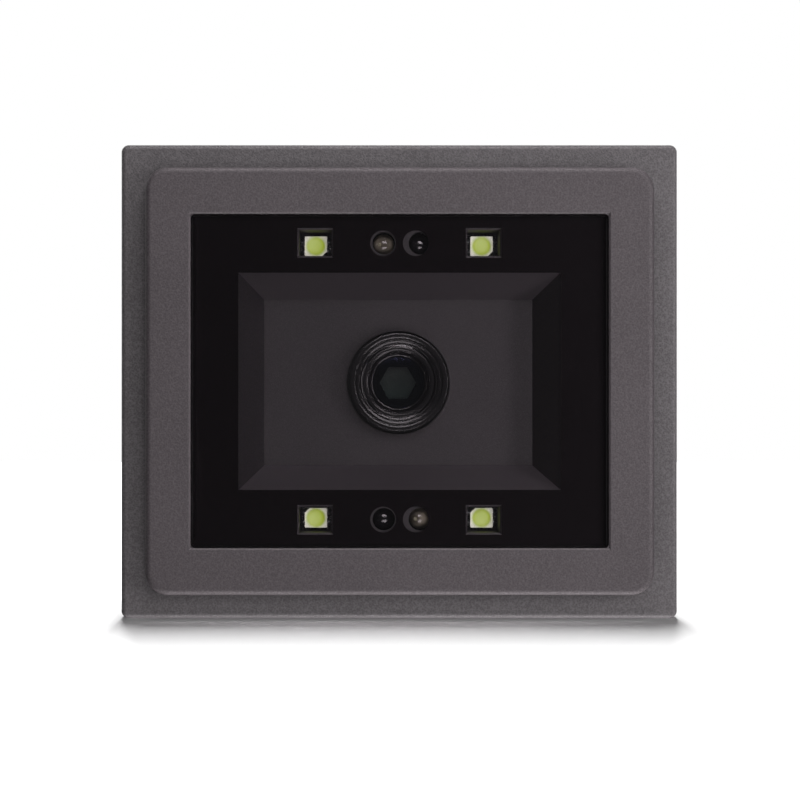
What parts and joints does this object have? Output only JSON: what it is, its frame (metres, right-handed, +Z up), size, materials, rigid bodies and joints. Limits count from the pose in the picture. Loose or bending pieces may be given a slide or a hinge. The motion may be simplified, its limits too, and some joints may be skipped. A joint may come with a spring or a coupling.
{
  "type": "fixed barcode reader",
  "caption": "Fixed-mount barcode reader with a raised bezel, smoked scan window, recessed lens, white lamps and a rear data port.",
  "frame": {"origin": "centre of the box's footprint, on the surface that the reader stands on", "axes": "+X to the right across the face as seen from the front, +Y from the window towards the rear cover, +Z up"},
  "size_m": [0.0786, 0.053, 0.067],
  "materials": {
    "housing_plastic": "dark grey moulded plastic with a fine spark-eroded grain",
    "cover_plastic": "dark grey moulded plastic with a fine spark-eroded grain",
    "seal_rubber": "black elastomer",
    "screw_steel": "zinc-plated steel",
    "insert_brass": "turned brass",
    "window_pane": "lightly smoked clear plate, polished",
    "black_film": "black adhesive film, die cut",
    "mask_plastic": "dark grey moulded plastic, fine grain",
    "black_laminate": "circuit board with black solder mask",
    "green_laminate": "circuit board with green solder mask",
    "chip_plastic": "black moulded package",
    "lamp_package": "white moulded lamp body",
    "lamp_phosphor": "yellow-green silicone",
    "clear_epoxy": "clear cast epoxy",
    "dark_epoxy": "dark filter epoxy",
    "black_aluminium": "black anodised, turned",
    "lens_glass": "coated optical glass",
    "filter_glass": "coated filter plate",
    "holder_plastic": "glass-filled black plastic",
    "sensor_ceramic": "dark ceramic package",
    "flex_film": "amber film",
    "socket_plastic": "cream moulded plastic",
    "can_aluminium": "drawn can",
    "inductor_ferrite": "ferrite",
    "buzzer_plastic": "black moulded plastic",
    "port_plastic": "black glass-filled plastic",
    "contact_gold": "gold-plated spring wire"
  },
  "bodies": {
    "root": {"front_housing": "housing_plastic", "rear_cover": "cover_plastic", "housing_seal": "seal_rubber", "housing_screws": "screw_steel", "mount_inserts": "insert_brass", "scan_window": "window_pane", "window_tape": "black_film", "optics_mask": "mask_plastic", "mask_screws": "screw_steel", "light_board": "black_laminate", "light_board_screws": "screw_steel", "light_board_resistors": "chip_plastic", "white_led_1": "lamp_package", "white_led_2": "lamp_package", "white_led_3": "lamp_package", "white_led_4": "lamp_package", "led_phosphor_1": "lamp_phosphor", "led_phosphor_2": "lamp_phosphor", "led_phosphor_3": "lamp_phosphor", "led_phosphor_4": "lamp_phosphor", "aiming_led_upper": "clear_epoxy", "aiming_led_lower": "clear_epoxy", "proximity_sensor_upper": "dark_epoxy", "proximity_sensor_lower": "dark_epoxy", "lens_barrel": "black_aluminium", "lens_retaining_ring": "black_aluminium", "front_lens": "lens_glass", "aperture_stop": "black_aluminium", "rear_lens": "lens_glass", "rear_retaining_ring": "black_aluminium", "lens_lock_ring": "black_aluminium", "lens_holder": "holder_plastic", "lens_holder_screws": "screw_steel", "ir_filter": "filter_glass", "image_sensor": "sensor_ceramic", "sensor_glass": "lens_glass", "sensor_board": "green_laminate", "sensor_board_screws": "screw_steel", "light_flex": "flex_film", "light_flex_sockets": "socket_plastic", "camera_flex": "flex_film", "camera_flex_sockets": "socket_plastic", "decoder_board": "green_laminate", "decoder_board_screws": "screw_steel", "processor": "chip_plastic", "memory_chip": "chip_plastic", "power_capacitors": "can_aluminium", "power_inductor": "inductor_ferrite", "buzzer": "buzzer_plastic", "data_port": "port_plastic", "port_contacts": "contact_gold"}
  },
  "joints": []
}
